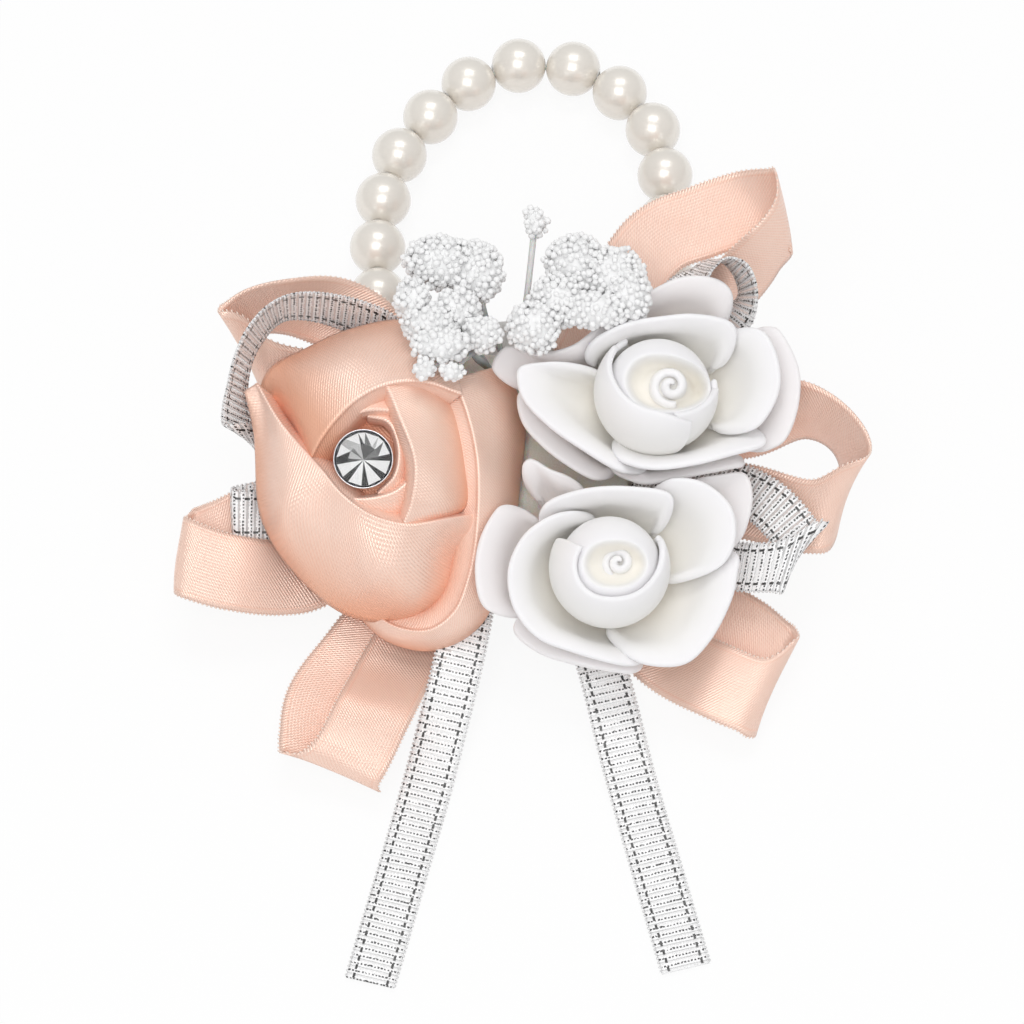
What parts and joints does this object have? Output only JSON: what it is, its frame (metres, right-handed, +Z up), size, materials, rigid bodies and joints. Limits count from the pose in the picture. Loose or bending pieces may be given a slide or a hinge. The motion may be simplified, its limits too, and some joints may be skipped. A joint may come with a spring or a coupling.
{
  "type": "wrist corsage",
  "caption": "Stretch bracelet of drilled pearls carrying a flower head: a folded satin rose with a stone, foam roses, stamen sprigs, ribbon loops and hanging ribbon tails.",
  "frame": {"origin": "middle of the bounding box's footprint, on the table the corsage lies on", "axes": "+Z up from the table, +Y towards the bracelet's far side, the ribbon tails run towards -Y"},
  "size_m": [0.0936, 0.147, 0.0353],
  "materials": {
    "felt": "white felt",
    "glue": "set hot glue, milky",
    "satin": "peach satin ribbon with picot edges",
    "silver": "woven metallic ribbon, open mesh",
    "crystal": "clear faceted stone",
    "setting": "bright stamped cup",
    "foam": "soft white foam sheet",
    "stamen": "white granules on stems",
    "cord": "clear-white stretch cord",
    "pearl": "ivory pearl coat on drilled beads"
  },
  "bodies": {
    "bracelet": {"elastic_cord": "cord"},
    "flower_head": {"base_felt": "felt", "backing_felt": "felt", "glue_mound": "glue", "satin_loop_1": "satin", "satin_loop_2": "satin", "satin_loop_3": "satin", "satin_loop_4": "satin", "satin_loop_5": "satin", "satin_loop_6": "satin", "silver_loop_1": "silver", "silver_loop_2": "silver", "silver_loop_3": "silver", "silver_loop_4": "silver", "satin_rose": "satin", "rhinestone": "crystal", "stone_setting": "setting", "upper_bud": "foam", "upper_inner_petal_1": "foam", "upper_inner_petal_2": "foam", "upper_inner_petal_3": "foam", "upper_inner_petal_4": "foam", "upper_outer_petal_1": "foam", "upper_outer_petal_2": "foam", "upper_outer_petal_3": "foam", "upper_outer_petal_4": "foam", "upper_outer_petal_5": "foam", "lower_bud": "foam", "lower_inner_petal_1": "foam", "lower_inner_petal_2": "foam", "lower_inner_petal_3": "foam", "lower_inner_petal_4": "foam", "lower_outer_petal_1": "foam", "lower_outer_petal_2": "foam", "lower_outer_petal_3": "foam", "lower_outer_petal_4": "foam", "stamen_sprig_1": "stamen", "stamen_sprig_2": "stamen", "stamen_sprig_3": "stamen", "stamen_sprig_4": "stamen"},
    "silver_tail_left": {"silver_tail_left": "silver"},
    "silver_tail_right": {"silver_tail_right": "silver"},
    "pearl_01": {"pearl_01": "pearl"},
    "pearl_02": {"pearl_02": "pearl"},
    "pearl_03": {"pearl_03": "pearl"},
    "pearl_04": {"pearl_04": "pearl"},
    "pearl_05": {"pearl_05": "pearl"},
    "pearl_06": {"pearl_06": "pearl"},
    "pearl_07": {"pearl_07": "pearl"},
    "pearl_08": {"pearl_08": "pearl"},
    "pearl_09": {"pearl_09": "pearl"},
    "pearl_10": {"pearl_10": "pearl"},
    "pearl_11": {"pearl_11": "pearl"},
    "pearl_12": {"pearl_12": "pearl"},
    "pearl_13": {"pearl_13": "pearl"},
    "pearl_14": {"pearl_14": "pearl"},
    "pearl_15": {"pearl_15": "pearl"},
    "pearl_16": {"pearl_16": "pearl"},
    "pearl_17": {"pearl_17": "pearl"},
    "pearl_18": {"pearl_18": "pearl"}
  },
  "joints": [
    {"name": "head_tilt", "type": "hinge", "parent": "bracelet", "child": "flower_head", "pos_m": [-0.00072, 0.00154, 0.00869], "axis": [1, 0, 0], "range_deg": [0, 68]},
    {"name": "tail_swing_left", "type": "hinge", "parent": "flower_head", "child": "silver_tail_left", "pos_m": [-0.00802, -0.02783, 0.00664], "axis": [-0.9686, 0.2487, 0], "range_deg": [0, 55], "deforming": ["silver_tail_left"]},
    {"name": "tail_swing_right", "type": "hinge", "parent": "flower_head", "child": "silver_tail_right", "pos_m": [0.01077, -0.02854, 0.0044], "axis": [-0.9694, -0.2453, 0], "range_deg": [0, 55], "deforming": ["silver_tail_right"]},
    {"name": "stretch", "type": "slide", "parent": "bracelet", "child": "pearl_09", "axis": [0.0085, 1, 0], "range_m": [0, 0.018], "stiffness_N_per_m": 60, "deforming": ["elastic_cord"]},
    {"name": "stretch_01", "type": "slide", "parent": "bracelet", "child": "pearl_01", "axis": [-0.8325, 0.5541, 0], "range_m": [0, 0.0058]},
    {"name": "stretch_02", "type": "slide", "parent": "bracelet", "child": "pearl_02", "axis": [-0.6839, 0.7296, 0], "range_m": [0, 0.00733]},
    {"name": "stretch_03", "type": "slide", "parent": "bracelet", "child": "pearl_03", "axis": [-0.5654, 0.8248, 0], "range_m": [0, 0.00908]},
    {"name": "stretch_04", "type": "slide", "parent": "bracelet", "child": "pearl_04", "axis": [-0.4743, 0.8804, 0], "range_m": [0, 0.01094]},
    {"name": "stretch_05", "type": "slide", "parent": "bracelet", "child": "pearl_05", "axis": [-0.3919, 0.92, 0], "range_m": [0, 0.01278]},
    {"name": "stretch_06", "type": "slide", "parent": "bracelet", "child": "pearl_06", "axis": [-0.3049, 0.9524, 0], "range_m": [0, 0.0145]},
    {"name": "stretch_07", "type": "slide", "parent": "bracelet", "child": "pearl_07", "axis": [-0.2042, 0.9789, 0], "range_m": [0, 0.01594]},
    {"name": "stretch_08", "type": "slide", "parent": "bracelet", "child": "pearl_08", "axis": [-0.1039, 0.9946, 0], "range_m": [0, 0.01724]},
    {"name": "stretch_10", "type": "slide", "parent": "bracelet", "child": "pearl_10", "axis": [0.126, 0.992, 0], "range_m": [0, 0.01801]},
    {"name": "stretch_11", "type": "slide", "parent": "bracelet", "child": "pearl_11", "axis": [0.2361, 0.9717, 0], "range_m": [0, 0.01721]},
    {"name": "stretch_12", "type": "slide", "parent": "bracelet", "child": "pearl_12", "axis": [0.3339, 0.9426, 0], "range_m": [0, 0.01591]},
    {"name": "stretch_13", "type": "slide", "parent": "bracelet", "child": "pearl_13", "axis": [0.4062, 0.9138, 0], "range_m": [0, 0.01413]},
    {"name": "stretch_14", "type": "slide", "parent": "bracelet", "child": "pearl_14", "axis": [0.4689, 0.8833, 0], "range_m": [0, 0.01219]},
    {"name": "stretch_15", "type": "slide", "parent": "bracelet", "child": "pearl_15", "axis": [0.5452, 0.8383, 0], "range_m": [0, 0.0103]},
    {"name": "stretch_16", "type": "slide", "parent": "bracelet", "child": "pearl_16", "axis": [0.6413, 0.7673, 0], "range_m": [0, 0.00847]},
    {"name": "stretch_17", "type": "slide", "parent": "bracelet", "child": "pearl_17", "axis": [0.7635, 0.6458, 0], "range_m": [0, 0.00677]},
    {"name": "stretch_18", "type": "slide", "parent": "bracelet", "child": "pearl_18", "axis": [0.906, 0.4233, 0], "range_m": [0, 0.00533]}
  ],
  "couplings": [
    {"joint": "stretch_01", "follows": "stretch", "ratio": 0.32182},
    {"joint": "stretch_02", "follows": "stretch", "ratio": 0.40669},
    {"joint": "stretch_03", "follows": "stretch", "ratio": 0.50374},
    {"joint": "stretch_04", "follows": "stretch", "ratio": 0.60693},
    {"joint": "stretch_05", "follows": "stretch", "ratio": 0.70949},
    {"joint": "stretch_06", "follows": "stretch", "ratio": 0.80513},
    {"joint": "stretch_07", "follows": "stretch", "ratio": 0.88479},
    {"joint": "stretch_08", "follows": "stretch", "ratio": 0.95752},
    {"joint": "stretch_10", "follows": "stretch", "ratio": 0.99975},
    {"joint": "stretch_11", "follows": "stretch", "ratio": 0.95534},
    {"joint": "stretch_12", "follows": "stretch", "ratio": 0.88323},
    {"joint": "stretch_13", "follows": "stretch", "ratio": 0.78417},
    {"joint": "stretch_14", "follows": "stretch", "ratio": 0.67674},
    {"joint": "stretch_15", "follows": "stretch", "ratio": 0.57142},
    {"joint": "stretch_16", "follows": "stretch", "ratio": 0.46991},
    {"joint": "stretch_17", "follows": "stretch", "ratio": 0.37555},
    {"joint": "stretch_18", "follows": "stretch", "ratio": 0.29573}
  ]
}
